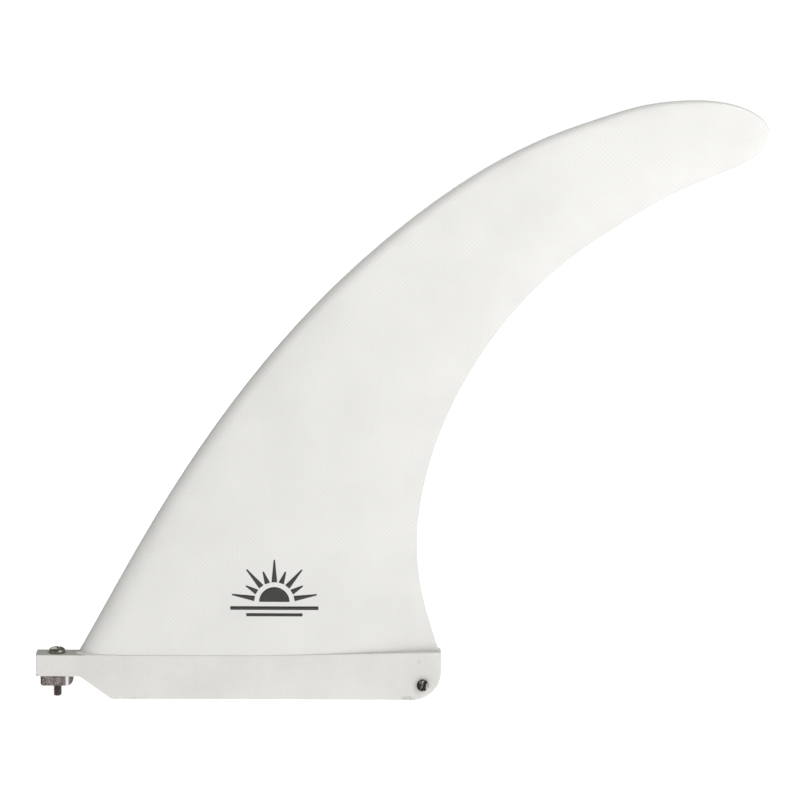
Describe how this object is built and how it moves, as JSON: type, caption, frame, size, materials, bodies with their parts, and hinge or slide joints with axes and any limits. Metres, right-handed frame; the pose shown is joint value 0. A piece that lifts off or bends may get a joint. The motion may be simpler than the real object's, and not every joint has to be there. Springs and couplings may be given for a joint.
{
  "type": "surfboard fin",
  "caption": "Raked white fibreglass single fin for a longboard fin box, with its base, front tab screw, nut plate and rear cross pin.",
  "frame": {"origin": "centre of the underside of the base, half-way along the base, on the fin's mid-plane", "axes": "+X towards the trailing edge and the rear pin, +Y across the fin, +Z from the base to the tip"},
  "size_m": [0.2965, 0.0126, 0.2474],
  "materials": {
    "blade_laminate": "satin white glass cloth laminate",
    "base_resin": "satin sanded white resin",
    "screw_steel": "polished stainless",
    "plate_steel": "rough cast stainless",
    "pin_steel": "dark stainless"
  },
  "bodies": {
    "root": {"blade": "blade_laminate", "base": "base_resin", "rear_pin": "pin_steel"},
    "screw": {"fin_screw": "screw_steel"},
    "plate": {"fin_plate": "plate_steel"}
  },
  "joints": [
    {"name": "screw_turn", "type": "hinge", "parent": "root", "child": "screw", "pos_m": [-0.0745, 0, 0.0187], "axis": [0, 0, 1], "range_deg": [0, 1440]},
    {"name": "plate_travel", "type": "slide", "parent": "root", "child": "plate", "axis": [0, 0, -1], "range_m": [0, 0.00317]}
  ],
  "couplings": [
    {"joint": "screw_turn", "follows": "plate_travel", "rad_per_m": 7915.8}
  ]
}
